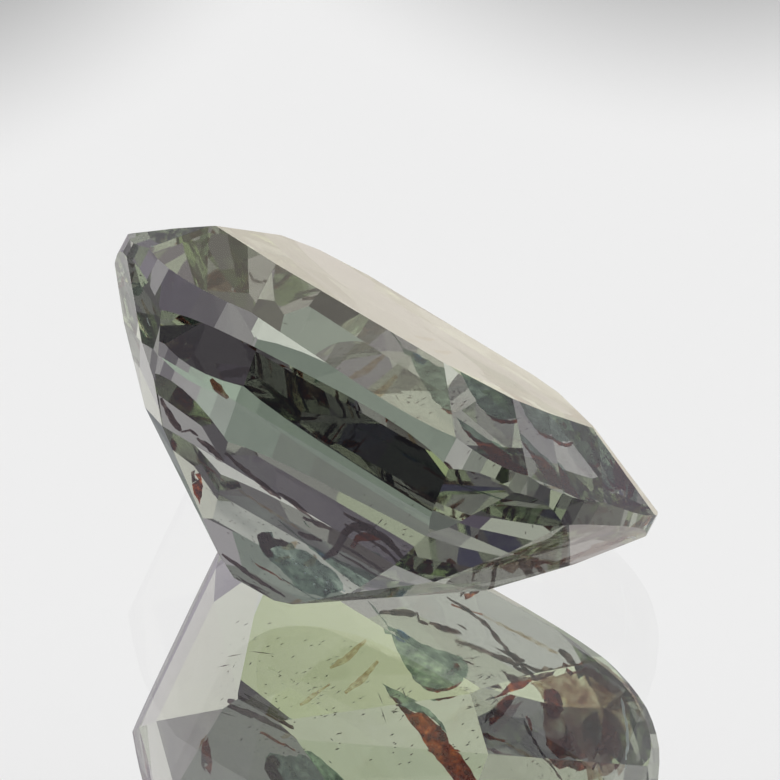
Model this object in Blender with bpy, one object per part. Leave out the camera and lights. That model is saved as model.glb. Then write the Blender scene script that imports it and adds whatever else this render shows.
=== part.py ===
"""A cut and polished alexandrite lying on one of its lower facets.

The stone is a cushion shape with a flat table, one tier of crown facets, a narrow girdle and three tiers of
step facets below it. It is cut the way a gem cutter does it: a straight-sided blank with the girdle's outline is
ground down by one flat plane after another. Lengths are in millimetres until the finished mesh is scaled.
"""
import math

import bmesh
import bpy
import numpy as np
from mathutils import Matrix, Vector

MM = 0.001

# The outline at the girdle, seen from above the table
LENGTH = 7.30
WIDTH = 5.10
SQUARENESS = 3.8
OUTLINE_TURN = 2.0
OUTLINE_SHIFT = (0.12, 0.07)
OUTLINE_POINTS = 64

# Heights, measured along the stone's own axis from the middle of the girdle
GIRDLE = 0.18
CROWN_HEIGHT = 0.68
BLANK_DEPTH = 5.0

# Pavilion: how far each tier runs inwards and down, counted from the girdle's lower edge
STEPS = ((0.58, 0.88), (1.24, 1.72), (2.66, 2.88))

# Each sector's azimuth, and how much further than STEPS its tiers run inwards
SECTORS = (
    (6, 1.22),
    (48, 1.18),
    (90, 0.76),
    (150, 0.98),
    (180, 0.95),
    (227, 1.08),
    (274, 0.97),
    (330, 1.22),
)

# Small facets under the girdle, between the sectors: each one's azimuth and the same allowance as in SECTORS
BREAK_FACETS = (
    (69, 0.95),
    (120, 0.85),
    (240, 0.95),
    (304, 0.95),
)

# Crown facets: each one's azimuth, and how far in from the girdle the table starts there
CROWN_FACETS = (
    (6, 1.00),
    (27, 1.25),
    (48, 1.45),
    (69, 1.05),
    (90, 0.60),
    (120, 0.60),
    (150, 0.70),
    (165, 0.85),
    (190, 1.10),
    (200, 0.95),
    (227, 0.80),
    (263, 0.80),
    (275, 0.90),
    (300, 1.25),
    (339, 1.35),
    (351, 1.25),
)

# The facet that the stone lies on, how much further out the facet above it ends so that the stone lies on it steadily,
# and the turn about the vertical that faces the broad side to the front
REST_TIER = 2
REST_SECTOR = 2
REST_LEDGE = 0.045
HEADING = -41.3

# Tolerances of the cutting: what counts as lying on a plane, and the shortest edge that is kept
ON_PLANE = 1e-7
SHORTEST_EDGE = 0.002

CRYSTAL_COLOUR = (0.42, 0.50, 0.38, 1)
POLISH_ROUGHNESS = 0.03


def outline_points():
    """Points round the girdle: a superellipse, a little turned and off the axis."""
    turn = math.radians(OUTLINE_TURN)
    points = []
    for index in range(OUTLINE_POINTS):
        angle = math.tau * (index + 0.5) / OUTLINE_POINTS
        along = math.copysign(abs(math.cos(angle)) ** (2 / SQUARENESS), math.cos(angle)) * LENGTH / 2
        across = math.copysign(abs(math.sin(angle)) ** (2 / SQUARENESS), math.sin(angle)) * WIDTH / 2
        x = along * math.cos(turn) - across * math.sin(turn) + OUTLINE_SHIFT[0]
        y = along * math.sin(turn) + across * math.cos(turn) + OUTLINE_SHIFT[1]
        points.append((x, y))
    return points


def reach(outline, azimuth):
    """How far the outline reaches from the axis in one direction."""
    direction = (math.cos(azimuth), math.sin(azimuth))
    return max(x * direction[0] + y * direction[1] for x, y in outline)


def blank(outline):
    """A straight-sided block with the girdle's outline."""
    bm = bmesh.new()
    floor = [bm.verts.new((x, y, -BLANK_DEPTH)) for x, y in outline]
    face = bm.faces.new(floor)
    top = bmesh.ops.extrude_face_region(bm, geom=[face])
    raised = [v for v in top["geom"] if isinstance(v, bmesh.types.BMVert)]
    bmesh.ops.translate(bm, verts=raised, vec=(0, 0, 2 * BLANK_DEPTH))
    bmesh.ops.recalc_face_normals(bm, faces=bm.faces)
    return bm


def grind(bm, point, normal):
    """Cut away everything on the far side of a plane and close the flat that this leaves."""
    geometry = bm.verts[:] + bm.edges[:] + bm.faces[:]
    cut = bmesh.ops.bisect_plane(bm, geom=geometry, dist=ON_PLANE, plane_co=point, plane_no=normal, clear_outer=True)
    rim = [g for g in cut["geom_cut"] if isinstance(g, bmesh.types.BMEdge)]
    if rim:
        bmesh.ops.edgeloop_fill(bm, edges=rim)


def facet_plane(azimuth, start, end):
    """The plane through two levels of a facet, each given as its radius and height."""
    run = end[0] - start[0]
    rise = end[1] - start[1]
    outward = Vector((abs(rise), math.copysign(abs(run), end[1])))
    outward.normalize()
    spin = Matrix.Rotation(azimuth, 3, "Z")
    return spin @ Vector((start[0], 0, start[1])), spin @ Vector((outward[0], 0, outward[1]))


def pavilion_plane(outline, tier, azimuth, spread):
    """The plane of one facet below the girdle."""
    above_rest = tier == REST_TIER - 1 and azimuth == SECTORS[REST_SECTOR][0]
    azimuth = math.radians(azimuth)
    girdle_reach = reach(outline, azimuth)
    levels = [(0.0, 0.0), *STEPS]
    start, end = ((girdle_reach - run * spread, -GIRDLE / 2 - depth) for run, depth in levels[tier : tier + 2])
    if above_rest:
        end = (end[0] + REST_LEDGE, end[1])
    return facet_plane(azimuth, start, end)


def cut_stone():
    """The finished stone with its table up and the middle of its girdle at the origin."""
    outline = outline_points()
    bm = blank(outline)
    table = GIRDLE / 2 + CROWN_HEIGHT
    grind(bm, Vector((0, 0, table)), Vector((0, 0, 1)))
    for azimuth, run in CROWN_FACETS:
        azimuth = math.radians(azimuth)
        edge = reach(outline, azimuth)
        grind(bm, *facet_plane(azimuth, (edge, GIRDLE / 2), (edge - run, table)))
    for tier in range(len(STEPS)):
        for azimuth, spread in SECTORS:
            grind(bm, *pavilion_plane(outline, tier, azimuth, spread))
    for azimuth, spread in BREAK_FACETS:
        grind(bm, *pavilion_plane(outline, 0, azimuth, spread))
    bmesh.ops.remove_doubles(bm, verts=bm.verts, dist=SHORTEST_EDGE)
    return bm


def lay_down(bm):
    """Turn the resting facet to face down and put it on z = 0, with the stone's footprint centred."""
    _, normal = pavilion_plane(outline_points(), REST_TIER, *SECTORS[REST_SECTOR])
    side = Vector((1, 0, 0))
    side = (side - side.dot(normal) * normal).normalized()
    up = -normal
    level = Matrix((side, up.cross(side), up)).to_4x4()
    bm.transform(Matrix.Rotation(math.radians(HEADING), 4, "Z") @ level)
    corners = np.array([v.co for v in bm.verts])
    low, high = corners.min(axis=0), corners.max(axis=0)
    bm.transform(Matrix.Translation((-(low[0] + high[0]) / 2, -(low[1] + high[1]) / 2, -low[2])))


def crystal_material():
    """Polished grey-green crystal."""
    material = bpy.data.materials.new("polished_crystal")
    material.use_nodes = True
    shader = material.node_tree.nodes["Principled BSDF"]
    shader.inputs["Base Color"].default_value = CRYSTAL_COLOUR
    shader.inputs["Roughness"].default_value = POLISH_ROUGHNESS
    shader.inputs["Metallic"].default_value = 0.0
    return material


def main():
    for old in list(bpy.data.objects):
        bpy.data.objects.remove(old)
    bm = cut_stone()
    lay_down(bm)
    bm.transform(Matrix.Scale(MM, 4))
    mesh = bpy.data.meshes.new("stone")
    bm.to_mesh(mesh)
    bm.free()
    mesh.materials.append(crystal_material())
    stone = bpy.data.objects.new("stone", mesh)
    bpy.context.scene.collection.objects.link(stone)


main()
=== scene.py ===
"""The cut alexandrite of the CAD frame, as a clear grey-green crystal with its flaws, on a pale mirror."""
import math
import random

import bmesh
import bpy
from mathutils import Matrix, Vector
from mathutils.bvhtree import BVHTree


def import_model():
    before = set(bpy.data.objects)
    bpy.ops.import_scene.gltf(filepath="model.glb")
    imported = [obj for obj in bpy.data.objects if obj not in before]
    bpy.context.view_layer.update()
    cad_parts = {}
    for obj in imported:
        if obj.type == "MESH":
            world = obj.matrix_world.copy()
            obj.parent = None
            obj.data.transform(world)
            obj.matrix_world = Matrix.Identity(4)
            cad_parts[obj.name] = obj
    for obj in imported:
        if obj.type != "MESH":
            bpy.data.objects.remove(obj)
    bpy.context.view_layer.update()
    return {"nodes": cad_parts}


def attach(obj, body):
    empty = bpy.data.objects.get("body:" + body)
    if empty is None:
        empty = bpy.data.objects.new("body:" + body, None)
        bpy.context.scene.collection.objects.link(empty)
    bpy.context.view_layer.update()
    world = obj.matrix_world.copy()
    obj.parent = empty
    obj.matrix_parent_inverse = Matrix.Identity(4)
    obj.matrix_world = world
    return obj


MM = 0.001
BODY = "root"

# Camera: where it stands and how large it sees the stone
PICTURE_SIDE = 780
PIXELS_PER_MM = 77.76
PIXEL = MM / PIXELS_PER_MM
CAMERA_DISTANCE = 238.6 * MM
CAMERA_ELEVATION = 47.06
CAMERA_ROLL = -1.29
STONE_ORIGIN_PIXEL = (388.8, 510.9)
SENSOR_WIDTH = 36.0
CLIP_START = 0.01
CLIP_END = 10.0

# How often light may turn in and round the stone, and between dull surfaces
BOUNCES = 40
DULL_BOUNCES = 2

# Mirror: a sheet of clear glass, silvered on its underside. A face is the underside where the height of its
# normal is below UNDERSIDE. AIR_GAP is what stays free between the glass and the stone.
MIRROR_SIDE = 0.9
MIRROR_THICKNESS = 2.1 * MM
GLASS_IOR = 1.52
SILVER_COLOUR = (0.95, 0.95, 0.95, 1)
UNDERSIDE = -0.5
AIR_GAP = 0.01 * MM

# Crystal: absorption in each colour is the density times one minus the colour, per metre
CRYSTAL_IOR = 1.745
ABSORPTION_COLOUR = (0.51, 0.59, 0.40, 1)
ABSORPTION_DENSITY = 150.0

# Its polish: the scuffs' fineness, the noise values where they start and are full, and how dull they are;
# then the waves' fineness and height
SCUFFS_PER_METRE = 2500
SCUFF_DETAIL = 5.0
SCUFF_LEVELS = (0.45, 0.75)
SCUFF_ROUGHNESS = 0.05
WAVES_PER_METRE = 1000
WAVE_DETAIL = 1.0
WAVE_HEIGHT = 0.002 * MM

# Surroundings: a lilac-grey room with light and dark areas in it. Each one's azimuth from +X, its
# elevation, the angles from its middle where it starts and ends fading, and its colour. Later areas cover
# earlier ones.
ROOM_COLOUR = (0.40, 0.37, 0.42)
ROOM_AREAS = (
    (0, -90, 95, 115, (0.65, 0.63, 0.65)),  # pale floor and lower walls all round
    (109, 40, 3, 7, (0.80, 0.79, 0.74)),  # wall beside the lamp
    (85, 37, 5, 14, (1.05, 0.98, 0.84)),  # lamp behind the stone
    (90, 49, 5, 8, (0.90, 0.90, 0.90)),  # white wall that the mirror shows round the stone
    (80, 18, 8, 12, (0.25, 0.29, 0.265)),  # shaded foot of that wall
    (82, 9, 7, 10, (0.20, 0.21, 0.20)),  # its dark skirting
    (104, 7, 5, 10, (0.15, 0.16, 0.16)),  # the skirting's left end
    (67, 24, 3, 7, (0.50, 0.58, 0.53)),  # lit corner at its right end
    (24, 52, 9, 16, (0.80, 0.78, 0.74)),  # window on the right
    (146, 42, 10, 20, (0.60, 0.63, 0.50)),  # window on the left
    (147, 25, 4, 8, (0.26, 0.24, 0.28)),  # its sill
    (128, 29, 4, 8, (0.54, 0.59, 0.44)),  # leaves beside it
    (179, 13, 4, 8, (0.90, 0.92, 0.76)),  # bright gap on the left
    (121, 47, 3, 6, (0.85, 0.84, 0.82)),  # pale jamb of the left window
    (176, 46, 4, 8, (0.08, 0.08, 0.09)),  # dark beam above the gap
    (176, 57, 5, 8, (0.62, 0.67, 0.44)),  # pane above the beam
    (95, 72, 15, 25, (0.07, 0.06, 0.075)),  # dark ceiling
    (90, 86, 7, 11, (0.75, 0.74, 0.76)),  # skylight overhead
    (24, 73, 4, 9, (0.75, 0.74, 0.70)),  # skylight on the right
    (74, 67, 1.8, 3.2, (0.80, 0.74, 0.72)),  # small skylight
    (65, 57, 3, 6.5, (0.46, 0.54, 0.49)),  # pale cornice
    (104, 52.5, 1.5, 4, (0.26, 0.30, 0.28)),  # grey picture rail
    (-8, 62, 8, 14, (0.09, 0.08, 0.17)),  # ceiling on the right
    (146, 67, 6, 12, (0.07, 0.055, 0.09)),  # ceiling on the left
    (116.5, 57, 3, 5.5, (0.010, 0.010, 0.012)),  # black beam above the lamp
    (92.5, 44.1, 0.5, 2.0, (0.14, 0.14, 0.14)),  # shade at the white wall's lower left edge
    (88.5, 43.8, 0.9, 2.16, (0.20, 0.20, 0.20)),  # shade at its lower right edge
    (-90, 45, 20, 38, (0.13, 0.11, 0.15)),  # dark side that the camera stands on
    (-25, 38, 8, 16, (0.14, 0.12, 0.18)),  # dark cloth on the right
    (195, 20, 3.5, 7, (0.60, 0.60, 0.54)),  # light screen on the left
    (209, 24, 4, 9, (0.04, 0.035, 0.05)),  # dark furniture beside it
    (191, 35, 4, 8, (0.10, 0.08, 0.09)),  # its dark top
    (208, 1, 3, 8, (0.15, 0.12, 0.19)),  # its foot
    (-92, 2, 10, 20, (0.24, 0.19, 0.30)),  # table in front
    (-122, 5, 8, 14, (0.52, 0.46, 0.52)),  # light paper on it
    (12, 14, 10, 20, (0.22, 0.18, 0.28)),  # table on the right
    (34, 3, 6, 14, (0.60, 0.58, 0.56)),  # light paper on it
    (43, 24.5, 4, 8, (0.14, 0.12, 0.16)),  # dark doorway on the right
    (151, 36, 2, 5, (0.25, 0.25, 0.24)),  # dark bar across the left window
)

# Flaws inside the crystal. Each is drawn where the picture shows it, in picture pixels, and is then carried
# along the line of sight through the facet to a depth in millimetres. STONE and IMAGE say whether it is
# seen in the stone itself or in its image in the mirror. No flaw lies deeper than DEEPEST_SHARE of the way
# to the stone's far side.
STONE, IMAGE = False, True
SHEET_THICKNESS = 0.02 * MM
DEEPEST_SHARE = 0.85
ON_SURFACE = 0.001 * MM

# What the flaws' spots look like: their fine detail, the noise values of the thick, middle and thin tints,
# and the ones between which the body's cover falls from that much above its mean to as much below it
SPOT_DETAIL = 6.0
SPOT_BREAK_UP = 0.65
TINT_LEVELS = (0.36, 0.50, 0.66)
COVER_LEVELS = (0.35, 0.65)
COVER_SPREAD = 0.2
BODY_ROUGHNESS = 0.6
BODY_BRIGHTENING = 2

# Material: the tints of its thin, middle and thick parts, its body's colour, how much of the light that
# body stops, and how many spots it has per metre
FLAW_MATERIALS = {
    "iron_stain": (
        (0.95, 0.56, 0.32), (0.60, 0.22, 0.09), (0.26, 0.08, 0.035), (0.15, 0.045, 0.015), 0.24, 7000),
    "dark_plate": (
        (0.68, 0.61, 0.59), (0.42, 0.34, 0.33), (0.20, 0.14, 0.13), (0.08, 0.055, 0.05), 0.16, 7000),
    "liquid_veil": (
        (0.78, 0.86, 0.82), (0.62, 0.72, 0.68), (0.46, 0.56, 0.53), (0.20, 0.24, 0.22), 0.18, 6000),
    "brown_veil": (
        (1.0, 0.98, 0.94), (0.96, 0.90, 0.80), (0.88, 0.76, 0.62), (0.30, 0.20, 0.12), 0.02, 9000),
    "rust_cloud": (
        (0.92, 0.92, 0.86), (0.76, 0.66, 0.58), (0.56, 0.36, 0.28), (0.20, 0.11, 0.07), 0.12, 3500),
    "blue_film": (
        (0.55, 0.74, 0.95), (0.40, 0.60, 0.85), (0.32, 0.45, 0.62), (0.20, 0.26, 0.32), 0.10, 9000),
    # The bright gap's near-white, above white where its body is brightened, is painted shine: it stands in
    # for light reflected at the gaps and glinting on the chips
    "gap_with_painted_shine": (
        (1.0, 1.0, 1.0), (0.95, 1.0, 0.98), (0.85, 0.95, 0.95), (0.60, 0.72, 0.70), 0.60, 9000),
}

# Flat flaws: name, material, where it is seen, depth, and its outline
SHEETS = (
    ("feather", "liquid_veil", IMAGE, 0.50, (
        (367, 600), (378, 612), (388, 626), (398, 630), (408, 636), (422, 644), (438, 650), (452, 654),
        (462, 657), (467, 663), (468, 672), (464, 680), (455, 686), (444, 690), (432, 692), (424, 689),
        (416, 682), (408, 670), (400, 655), (393, 640), (387, 625), (376, 612))),
    ("feather_rim", "iron_stain", IMAGE, 0.44, (
        (421, 686), (428, 691), (437, 693), (447, 691), (457, 687), (463, 681), (458, 683), (448, 688),
        (437, 689), (428, 687))),
    ("feather_spot", "iron_stain", IMAGE, 0.44, ((454, 664), (457, 663), (460, 666), (458, 669), (454, 668))),
    ("feather_film", "blue_film", IMAGE, 0.46, ((397, 629), (404, 632), (411, 637), (407, 640), (400, 637))),
    ("blade_tip", "liquid_veil", IMAGE, 0.14, (
        (382, 683), (391, 688), (401, 692), (413, 699), (425, 707), (436, 716), (444, 726), (447, 733),
        (440, 726), (430, 717), (416, 712), (402, 707), (390, 696))),
    ("blade", "iron_stain", IMAGE, 0.16, (
        (388, 694), (397, 698), (405, 707), (415, 713), (424, 712), (430, 718), (440, 726), (446, 733),
        (449, 743), (458, 752), (466, 763), (474, 776), (480, 790), (462, 790), (450, 775), (437, 760),
        (426, 745), (415, 728), (404, 713), (396, 703))),
    ("splinter", "dark_plate", IMAGE, 0.14, (
        (501, 670), (508, 674), (518, 677), (530, 677), (542, 673), (556, 668), (553, 675), (540, 680),
        (526, 681), (514, 683), (508, 680))),
    ("splinter_rust", "iron_stain", IMAGE, 0.12, (
        (493, 698), (503, 691), (507, 686), (513, 681), (523, 681), (533, 680), (526, 686), (517, 690),
        (510, 692), (501, 696))),
    ("cloud", "rust_cloud", IMAGE, 0.62, (
        (548, 672), (562, 666), (582, 664), (597, 672), (612, 684), (624, 694), (630, 708), (632, 730),
        (628, 748), (620, 764), (606, 776), (588, 780), (586, 768), (574, 756), (560, 757), (549, 747),
        (543, 727), (544, 704), (538, 690), (530, 683), (540, 680))),
    ("cloud_rust_1", "iron_stain", IMAGE, 0.56, (
        (544, 690), (552, 688), (560, 694), (563, 704), (560, 716), (553, 720), (547, 712), (544, 702))),
    ("cloud_rust_2", "iron_stain", IMAGE, 0.56, (
        (545, 735), (553, 738), (562, 738), (570, 732), (576, 738), (580, 748), (588, 757), (580, 760),
        (568, 756), (560, 759), (552, 752), (546, 745))),
    ("cloud_rust_3", "iron_stain", IMAGE, 0.56, (
        (603, 716), (612, 724), (620, 736), (622, 750), (614, 764), (600, 766), (592, 756), (598, 744),
        (602, 732))),
    ("cloud_rust_4", "iron_stain", IMAGE, 0.56, ((562, 668), (574, 664), (588, 665), (584, 671), (570, 676))),
    # The slit is a real gap; its brightness is painted reflection
    ("slit", "gap_with_painted_shine", IMAGE, 0.40, (
        (621, 697), (625, 708), (628, 722), (629, 740), (627, 760), (625, 760), (626, 740), (625, 724),
        (622, 708))),
    ("plume", "liquid_veil", STONE, 0.20, (
        (258, 535), (263, 532), (272, 532), (274, 539), (284, 541), (292, 543), (296, 549), (306, 551),
        (318, 560), (327, 566), (336, 573), (343, 584), (345, 596), (325, 598), (300, 590), (288, 577),
        (280, 568), (272, 562), (264, 555), (259, 546))),
    ("plume_head", "dark_plate", STONE, 0.18, (
        (257, 535), (262, 532), (270, 533), (273, 538), (283, 540), (289, 543), (286, 547), (276, 546),
        (270, 549), (274, 557), (268, 558), (262, 551), (259, 543))),
    ("pit_left", "dark_plate", STONE, 0.12, ((191, 472), (195, 470), (195, 478), (198, 480), (192, 483))),
    ("pit_top", "iron_stain", STONE, 0.12, ((195, 474), (200, 473), (202, 480), (199, 480))),
    ("pit", "iron_stain", STONE, 0.12, (
        (192, 484), (197, 484), (201, 478), (203, 486), (202, 496), (200, 505), (198, 500), (194, 494))),
    # No flaw: an iron-stain sheet just inside the arch, a painted reflection of the arch
    ("arch_painted_reflection", "iron_stain", STONE, 0.30, (
        (350, 546), (356, 535), (364, 532), (374, 534), (382, 540), (372, 541), (362, 541), (354, 549))),
)

# Narrow flaws: name, material, where it is seen, depth, width in pixels, and the points that it runs
# through
BANDS = (
    ("crack_1", "dark_plate", STONE, 0.12, 6, ((161, 398), (168, 412), (178, 427), (181, 431))),
    ("crack_2", "dark_plate", STONE, 0.16, 3, ((181, 432), (190, 430), (198, 436))),
    ("crack_3", "dark_plate", STONE, 0.16, 5, ((197, 438), (208, 446), (218, 456), (224, 462))),
    ("crack_4", "dark_plate", STONE, 0.12, 5, ((225, 453), (240, 466), (258, 481), (272, 493), (281, 499))),
    ("crack_5", "dark_plate", STONE, 0.12, 4, ((278, 493), (290, 500), (303, 511), (314, 521))),
    ("crack_6", "dark_plate", STONE, 0.12, 6, ((303, 517), (316, 523), (332, 530))),
    ("thread_1", "iron_stain", STONE, 0.20, 2.5, ((197, 459), (208, 468), (224, 481))),
    ("thread_2", "brown_veil", STONE, 0.20, 2.5, ((226, 482), (250, 497), (275, 514), (300, 530))),
    ("thread_3", "dark_plate", STONE, 0.20, 6, ((298, 532), (310, 537), (322, 541))),
    ("thread_4", "iron_stain", STONE, 0.20, 2, ((255, 563), (272, 573), (290, 584))),
    ("arch", "dark_plate", STONE, 0.20, 9, (
        (323, 559), (334, 552), (341, 541), (346, 532), (354, 526), (366, 527), (380, 535), (390, 543),
        (399, 551))),
    ("lower_edge", "dark_plate", STONE, 0.14, 4, ((222, 554), (240, 567), (262, 583), (285, 597))),
    ("lower_thread", "dark_plate", STONE, 0.14, 1.6, ((236, 575), (252, 586), (270, 593))),
    ("blob", "rust_cloud", STONE, 0.30, 9, ((211, 379), (218, 388), (228, 398))),
    # The girdle thread is a real gap; its brightness is painted shine
    ("girdle_thread", "gap_with_painted_shine", STONE, 0.10, 2, ((147, 318), (150, 326))),
    ("rim_line", "dark_plate", IMAGE, 0.12, 4, (
        (447, 597), (468, 610), (488, 626), (500, 642), (512, 655), (524, 668), (536, 678))),
    ("hair", "dark_plate", IMAGE, 0.12, 2.5, ((522, 714), (527, 729), (537, 745), (549, 762), (562, 780))),
    ("rust_thread", "iron_stain", IMAGE, 0.12, 4, ((526, 716), (530, 724), (532, 731))),
    ("whisker", "dark_plate", IMAGE, 0.14, 1.6, ((462, 660), (468, 662), (474, 665))),
    ("smear_1", "brown_veil", IMAGE, 0.60, 7, ((330, 668), (348, 657), (366, 640))),
    ("smear_2", "brown_veil", IMAGE, 0.60, 8, ((345, 693), (361, 680), (378, 661))),
    ("smear_3", "brown_veil", IMAGE, 0.60, 6, ((300, 705), (312, 696), (330, 684))),
)

# A flaw's outline gets a point about every RAGGED_STEP pixels, up to RAGGED_SIZE pixels or RAGGED_SHARE of
# its side out of line. A band's width varies by BAND_WIDTHS, and its ends have BAND_TAPER of it.
RAGGED_STEP = 5.0
RAGGED_SIZE = 1.0
RAGGED_SHARE = 0.12
BAND_WIDTHS = (0.8, 1.1)
BAND_TAPER = 0.4

# Swarms of tiny needles and crystals: where they are seen, the middle and half size of the swarm in pixels,
# how many, their slant in degrees, and their longest half length and half width in pixels. Then how far
# below the facet they lie, in millimetres, how much their slant strays, and what share of the longest and
# the widest they have.
SWARMS = (
    (IMAGE, (482, 672), (26, 30), 34, 20, 6.0, 0.7),
    (IMAGE, (400, 692), (14, 6), 10, 30, 5.0, 0.8),
    (IMAGE, (322, 668), (46, 30), 36, 24, 3.6, 0.7),
    (IMAGE, (430, 735), (60, 36), 26, 24, 3.0, 0.8),
    (IMAGE, (300, 720), (70, 34), 20, 24, 3.0, 0.8),
    (IMAGE, (245, 645), (26, 26), 8, 20, 3.2, 0.8),
    (IMAGE, (540, 760), (18, 14), 5, 20, 4.0, 0.8),
    (STONE, (250, 520), (40, 34), 14, -30, 2.4, 0.7),
)
NEEDLE_DEPTHS = (0.15, 1.3)
NEEDLE_STRAY = 9
NEEDLE_LENGTHS = (0.3, 1)
NEEDLE_WIDTHS = (0.6, 1)

# Bright specks just below the facets of the stone, small chips whose brightness is painted glint: where they
# are seen, their half size in pixels and their depth in millimetres
SPARKS = (
    (141, 238), (147, 240), (152, 246), (293, 559), (296, 564), (306, 567),
    (305, 573), (316, 577), (314, 584), (327, 582), (326, 590), (344, 591))
SPARK_SIZE = 1.6
SPARK_DEPTH = 0.06

# The seed of every random draw
SEED = 7


def new_material(name):
    """A material with an empty node tree and its output node."""
    material = bpy.data.materials.new(name)
    material.use_nodes = True
    tree = material.node_tree
    tree.nodes.clear()
    return material, tree, tree.nodes.new("ShaderNodeOutputMaterial")


def blend_colours(tree, factor, first, second):
    """A colour between the first and the second, each an output or a colour, by a factor from 0 to 1."""
    mix = tree.nodes.new("ShaderNodeMix")
    mix.data_type = "RGBA"
    sockets = [socket for socket in mix.inputs if socket.type == "RGBA"]
    tree.links.new(factor, mix.inputs["Factor"])
    for socket, value in zip(sockets, (first, second)):
        if isinstance(value, tuple):
            socket.default_value = (*value, 1)
        else:
            tree.links.new(value, socket)
    return next(socket for socket in mix.outputs if socket.type == "RGBA")


def add_noise(tree, scale, detail):
    """A noise pattern that is fixed to the piece."""
    noise = tree.nodes.new("ShaderNodeTexNoise")
    noise.inputs["Scale"].default_value = scale
    noise.inputs["Detail"].default_value = detail
    place = tree.nodes.new("ShaderNodeTexCoord").outputs["Object"]
    tree.links.new(place, noise.inputs["Vector"])
    return noise


def map_range(tree, value, begin, end, low, high):
    """A node that goes from low to high as the value goes from begin to end."""
    node = tree.nodes.new("ShaderNodeMapRange")
    for name, number in (("From Min", begin), ("From Max", end), ("To Min", low), ("To Max", high)):
        node.inputs[name].default_value = number
    tree.links.new(value, node.inputs["Value"])
    return node


def crystal_material():
    """Clear crystal with absorption inside; its polish is very slightly uneven and wavy."""
    material, tree, output = new_material("alexandrite")
    shader = tree.nodes.new("ShaderNodeBsdfPrincipled")
    shader.inputs["Base Color"].default_value = (1, 1, 1, 1)
    shader.inputs["IOR"].default_value = CRYSTAL_IOR
    shader.inputs["Transmission Weight"].default_value = 1.0
    scuffs = add_noise(tree, SCUFFS_PER_METRE, SCUFF_DETAIL)
    polish = map_range(tree, scuffs.outputs["Fac"], *SCUFF_LEVELS, 0.0, SCUFF_ROUGHNESS)
    tree.links.new(polish.outputs["Result"], shader.inputs["Roughness"])
    waves = add_noise(tree, WAVES_PER_METRE, WAVE_DETAIL)
    bump = tree.nodes.new("ShaderNodeBump")
    bump.inputs["Distance"].default_value = WAVE_HEIGHT
    tree.links.new(waves.outputs["Fac"], bump.inputs["Height"])
    tree.links.new(bump.outputs["Normal"], shader.inputs["Normal"])
    tree.links.new(shader.outputs["BSDF"], output.inputs["Surface"])
    volume = tree.nodes.new("ShaderNodeVolumeAbsorption")
    volume.inputs["Color"].default_value = ABSORPTION_COLOUR
    volume.inputs["Density"].default_value = ABSORPTION_DENSITY
    tree.links.new(volume.outputs["Volume"], output.inputs["Volume"])
    return material


def flaw_material(name, thin, middle, thick, body, cover, scale):
    """A flaw inside the crystal: it tints the light that passes, and its body stops a part of it."""
    material, tree, output = new_material(name)
    spots = add_noise(tree, scale, SPOT_DETAIL)
    spots.inputs["Roughness"].default_value = SPOT_BREAK_UP
    shades = tree.nodes.new("ShaderNodeValToRGB")
    shades.color_ramp.elements.new(TINT_LEVELS[1])
    for stop, position, colour in zip(shades.color_ramp.elements, TINT_LEVELS, (thick, middle, thin)):
        stop.position = position
        stop.color = (*colour, 1)
    tree.links.new(spots.outputs["Fac"], shades.inputs["Fac"])
    tint = tree.nodes.new("ShaderNodeBsdfTransparent")
    tree.links.new(shades.outputs["Color"], tint.inputs["Color"])
    solid = tree.nodes.new("ShaderNodeBsdfPrincipled")
    solid.inputs["Roughness"].default_value = BODY_ROUGHNESS
    bright = tuple(BODY_BRIGHTENING * share for share in body)
    tree.links.new(blend_colours(tree, spots.outputs["Fac"], body, bright), solid.inputs["Base Color"])
    most = min(1.0, cover + COVER_SPREAD)
    least = max(0.0, cover - COVER_SPREAD)
    amount = map_range(tree, spots.outputs["Fac"], *COVER_LEVELS, most, least)
    mix = tree.nodes.new("ShaderNodeMixShader")
    tree.links.new(amount.outputs["Result"], mix.inputs["Fac"])
    tree.links.new(tint.outputs["BSDF"], mix.inputs[1])
    tree.links.new(solid.outputs["BSDF"], mix.inputs[2])
    tree.links.new(mix.outputs["Shader"], output.inputs["Surface"])
    return material


def glass_material():
    """The mirror's clear glass."""
    material, tree, output = new_material("mirror_glass")
    shader = tree.nodes.new("ShaderNodeBsdfGlass")
    shader.inputs["Roughness"].default_value = 0.0
    shader.inputs["IOR"].default_value = GLASS_IOR
    tree.links.new(shader.outputs["BSDF"], output.inputs["Surface"])
    return material


def silver_material():
    """The silver on the mirror's underside."""
    material, tree, output = new_material("mirror_silver")
    shader = tree.nodes.new("ShaderNodeBsdfGlossy")
    shader.inputs["Color"].default_value = SILVER_COLOUR
    shader.inputs["Roughness"].default_value = 0.0
    tree.links.new(shader.outputs["BSDF"], output.inputs["Surface"])
    return material


def build_mirror():
    """The sheet that the stone lies on."""
    mesh = bpy.data.meshes.new("mirror")
    bm = bmesh.new()
    bmesh.ops.create_cube(bm, size=1)
    bm.transform(Matrix.Diagonal((MIRROR_SIDE, MIRROR_SIDE, MIRROR_THICKNESS, 1)))
    bm.transform(Matrix.Translation((0, 0, -AIR_GAP - MIRROR_THICKNESS / 2)))
    for face in bm.faces:
        face.material_index = 1 if face.normal.z < UNDERSIDE else 0
    bm.to_mesh(mesh)
    bm.free()
    mesh.materials.append(glass_material())
    mesh.materials.append(silver_material())
    mirror = bpy.data.objects.new("mirror", mesh)
    bpy.context.scene.collection.objects.link(mirror)


def direction(azimuth, elevation):
    """A unit vector from an azimuth and an elevation in degrees."""
    azimuth = math.radians(azimuth)
    elevation = math.radians(elevation)
    level = math.cos(elevation)
    return Vector((level * math.cos(azimuth), level * math.sin(azimuth), math.sin(elevation)))


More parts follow.
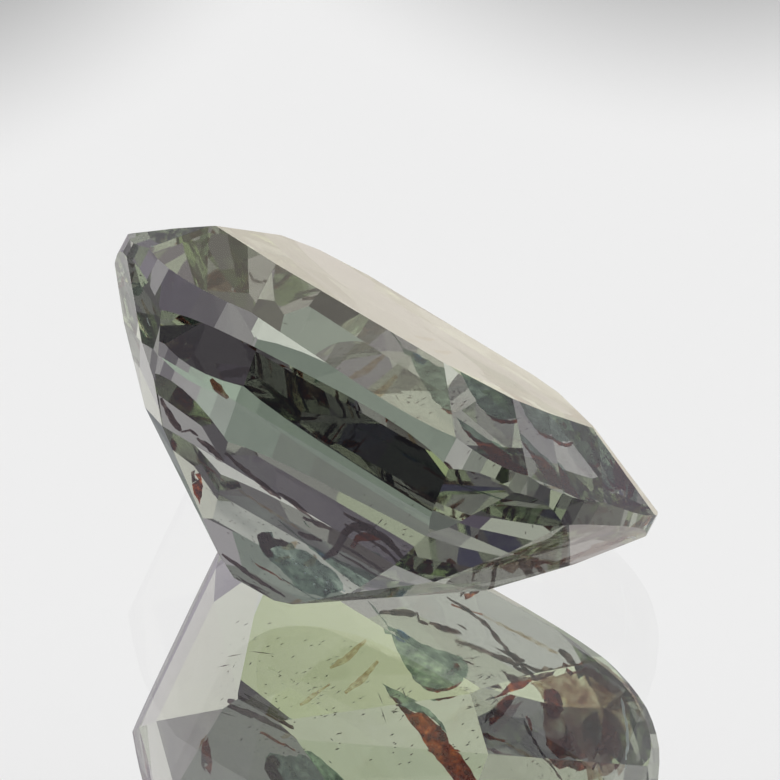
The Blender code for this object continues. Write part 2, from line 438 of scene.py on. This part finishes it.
def reflected(start, heading):
    """Where a ray comes out of the mirror's glass again, and its direction there."""
    where = start + heading * ((-AIR_GAP - start.z) / heading.z)
    level = Vector((heading.x, heading.y, 0)) / GLASS_IOR
    where += level * (2 * MIRROR_THICKNESS / math.sqrt(1 - level.length_squared))
    return where, Vector((heading.x, heading.y, -heading.z))


def refracted(heading, normal):
    """The direction inside the crystal of a ray that enters through a facet with this normal."""
    ratio = 1 / CRYSTAL_IOR
    facing = -heading.dot(normal)
    bend = ratio * facing - math.sqrt(1 - ratio * ratio * (1 - facing * facing))
    return ratio * heading + bend * normal


def sight_line(stone, pixel, in_mirror):
    """Where the line of sight through a picture pixel enters the stone, and its direction inside."""
    start, turn = camera_pose()
    middle = PICTURE_SIDE / 2
    focal = PIXELS_PER_MM * CAMERA_DISTANCE / MM
    heading = (turn @ Vector((pixel[0] - middle, middle - pixel[1], -focal))).normalized()
    if in_mirror:
        start, heading = reflected(start, heading)
    where, normal, _, _ = stone.ray_cast(start, heading)
    return where, refracted(heading, normal)


def points_inside(stone, pixel, in_mirror, depth):
    """The front and back of a thin flaw seen at a pixel, that far below its facet but inside the stone."""
    where, inward = sight_line(stone, pixel, in_mirror)
    room = stone.ray_cast(where + inward * ON_SURFACE, inward)[3]
    front = min(depth * MM, DEEPEST_SHARE * room)
    back = front + min(SHEET_THICKNESS, (room - front) / 2)
    return where + inward * front, where + inward * back


def ragged(outline, chance):
    """The outline with a few more points on each side, each a little out of line."""
    points = []
    for index, (x, y) in enumerate(outline):
        next_x, next_y = outline[(index + 1) % len(outline)]
        length = math.hypot(next_x - x, next_y - y)
        parts = max(1, round(length / RAGGED_STEP))
        for part in range(parts):
            share = part / parts
            wobble = chance.uniform(-1, 1) * min(RAGGED_SIZE, RAGGED_SHARE * length) if part else 0
            points.append((x + share * (next_x - x) - wobble * (next_y - y) / length,
                           y + share * (next_y - y) + wobble * (next_x - x) / length))
    return points


def band_outline(path, width, chance):
    """The outline of a band that runs through the path and tapers at its ends."""
    sides = ([], [])
    for index, (x, y) in enumerate(path):
        before, after = path[max(index - 1, 0)], path[min(index + 1, len(path) - 1)]
        along = Vector((after[0] - before[0], after[1] - before[1])).normalized()
        end = index in (0, len(path) - 1)
        half = width / 2 * (BAND_TAPER if end else chance.uniform(*BAND_WIDTHS))
        sides[0].append((x - half * along.y, y + half * along.x))
        sides[1].append((x + half * along.y, y - half * along.x))
    return sides[0] + sides[1][::-1]


def add_piece(name, bm, material):
    """A closed mesh inside the stone that rides with it."""
    bmesh.ops.recalc_face_normals(bm, faces=bm.faces)
    if bm.calc_volume(signed=True) < 0:
        bmesh.ops.reverse_faces(bm, faces=bm.faces)
    mesh = bpy.data.meshes.new(name)
    bm.to_mesh(mesh)
    bm.free()
    mesh.materials.append(material)
    piece = bpy.data.objects.new(name, mesh)
    bpy.context.scene.collection.objects.link(piece)
    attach(piece, BODY)


def build_sheet(stone, name, material, in_mirror, depth, outline):
    """A thin closed plate over the outline."""
    pairs = [points_inside(stone, pixel, in_mirror, depth) for pixel in outline]
    bm = bmesh.new()
    rings = [[bm.verts.new(point) for point in ring] for ring in zip(*pairs)]
    for ring in rings:
        bm.faces.new(ring)
    count = len(outline)
    for index in range(count):
        after = (index + 1) % count
        bm.faces.new((rings[0][index], rings[0][after], rings[1][after], rings[1][index]))
    bmesh.ops.triangulate(bm, faces=bm.faces)
    add_piece(name, bm, material)


def add_splinter(bm, ends, half_width):
    """A closed eight-sided splinter between two points."""
    first, last = ends
    middle = (first + last) / 2
    along = (last - first).normalized()
    side = along.orthogonal().normalized() * half_width
    other = along.cross(side)
    tips = [bm.verts.new(first), bm.verts.new(last)]
    waist = [bm.verts.new(middle + step) for step in (side, other, -side, -other)]
    for index, corner in enumerate(waist):
        for tip in tips:
            bm.faces.new((tip, corner, waist[(index + 1) % len(waist)]))


def build_needles(stone, material, chance):
    """The swarms of tiny needles, as one piece."""
    bm = bmesh.new()
    for seen, (x, y), (half_x, half_y), count, slant, length, width in SWARMS:
        for _ in range(count):
            angle = math.radians(slant + chance.gauss(0, NEEDLE_STRAY))
            reach = length * chance.uniform(*NEEDLE_LENGTHS)
            centre = (x + half_x * chance.uniform(-1, 1), y + half_y * chance.uniform(-1, 1))
            depth = chance.uniform(*NEEDLE_DEPTHS)
            step = (reach * math.cos(angle), -reach * math.sin(angle))
            pixels = [(centre[0] + sign * step[0], centre[1] + sign * step[1]) for sign in (-1, 1)]
            ends = [points_inside(stone, pixel, seen, depth)[0] for pixel in pixels]
            add_splinter(bm, ends, width * chance.uniform(*NEEDLE_WIDTHS) * PIXEL)
    add_piece("needles", bm, material)


def build_sparks(stone, material):
    """The bright specks, chips with painted glints, as one piece."""
    bm = bmesh.new()
    for x, y in SPARKS:
        pixels = [(x + sign * SPARK_SIZE, y) for sign in (-1, 1)]
        ends = [points_inside(stone, pixel, STONE, SPARK_DEPTH)[0] for pixel in pixels]
        add_splinter(bm, ends, SPARK_SIZE * PIXEL)
    add_piece("sparks", bm, material)


def build_flaws(stone_object):
    """All the flaws inside the stone, with the painted reflection of the arch and the painted shine on gaps
    and chips.
    """
    matrix = stone_object.matrix_world
    mesh = stone_object.data
    corners = [matrix @ vertex.co for vertex in mesh.vertices]
    stone = BVHTree.FromPolygons(corners, [polygon.vertices for polygon in mesh.polygons])
    materials = {name: flaw_material(name, *values) for name, values in FLAW_MATERIALS.items()}
    chance = random.Random(SEED)
    for name, material, seen, depth, outline in SHEETS:
        build_sheet(stone, name, materials[material], seen, depth, ragged(outline, chance))
    for name, material, seen, depth, width, path in BANDS:
        outline = ragged(band_outline(path, width, chance), chance)
        build_sheet(stone, name, materials[material], seen, depth, outline)
    build_needles(stone, materials["dark_plate"], chance)
    build_sparks(stone, materials["gap_with_painted_shine"])


def build_world():
    """The room round the stone, as soft areas of light and dark."""
    world = bpy.data.worlds.new("room")
    bpy.context.scene.world = world
    world.use_nodes = True
    tree = world.node_tree
    sight = tree.nodes.new("ShaderNodeTexCoord").outputs["Generated"]
    colour = ROOM_COLOUR
    for azimuth, elevation, inner, outer, tint in ROOM_AREAS:
        nearness = tree.nodes.new("ShaderNodeVectorMath")
        nearness.operation = "DOT_PRODUCT"
        nearness.inputs[1].default_value = direction(azimuth, elevation)
        tree.links.new(sight, nearness.inputs[0])
        edges = (math.cos(math.radians(outer)), math.cos(math.radians(inner)))
        fade = map_range(tree, nearness.outputs["Value"], *edges, 0.0, 1.0)
        fade.interpolation_type = "SMOOTHSTEP"
        colour = blend_colours(tree, fade.outputs["Result"], colour, tint)
    tree.links.new(colour, tree.nodes["Background"].inputs["Color"])


def camera_pose():
    """Where the camera stands and how it is turned: from the front and above, a little rolled."""
    elevation = math.radians(CAMERA_ELEVATION)
    back = Vector((0, -math.cos(elevation), math.sin(elevation)))
    right = Vector((1, 0, 0))
    up = back.cross(right)
    spin = Matrix.Rotation(math.radians(CAMERA_ROLL), 3, back)
    right = spin @ right
    up = spin @ up
    place = back * CAMERA_DISTANCE
    middle = PICTURE_SIDE / 2
    aside = (middle - STONE_ORIGIN_PIXEL[0]) / PIXELS_PER_MM * MM
    above = (STONE_ORIGIN_PIXEL[1] - middle) / PIXELS_PER_MM * MM
    aim = right * aside + up * above
    towards = (place - aim).normalized()
    right = (right - right.dot(towards) * towards).normalized()
    return place, Matrix((right, towards.cross(right), towards)).transposed()


def build_camera():
    """The photograph's view."""
    camera = bpy.data.cameras.new("camera")
    camera.sensor_width = SENSOR_WIDTH
    camera.lens = PIXELS_PER_MM / MM * CAMERA_DISTANCE * SENSOR_WIDTH / PICTURE_SIDE
    camera.clip_start = CLIP_START
    camera.clip_end = CLIP_END
    place, turn = camera_pose()
    holder = bpy.data.objects.new("camera", camera)
    holder.matrix_world = Matrix.Translation(place) @ turn.to_4x4()
    bpy.context.scene.collection.objects.link(holder)
    bpy.context.scene.camera = holder


def set_render():
    """Enough bounces for light that runs round inside the stone, and colours as they are."""
    scene = bpy.context.scene
    scene.cycles.max_bounces = BOUNCES
    scene.cycles.transmission_bounces = BOUNCES
    scene.cycles.glossy_bounces = BOUNCES
    scene.cycles.transparent_max_bounces = BOUNCES
    scene.cycles.diffuse_bounces = DULL_BOUNCES
    scene.cycles.caustics_reflective = True
    scene.cycles.caustics_refractive = True
    scene.cycles.blur_glossy = 0.0
    scene.view_settings.view_transform = "Standard"
    scene.view_settings.look = "None"


def main():
    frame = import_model()
    stone = frame["nodes"]["stone"]
    stone.data.materials.clear()
    stone.data.materials.append(crystal_material())
    build_flaws(stone)
    build_camera()
    build_world()
    build_mirror()
    set_render()


main()
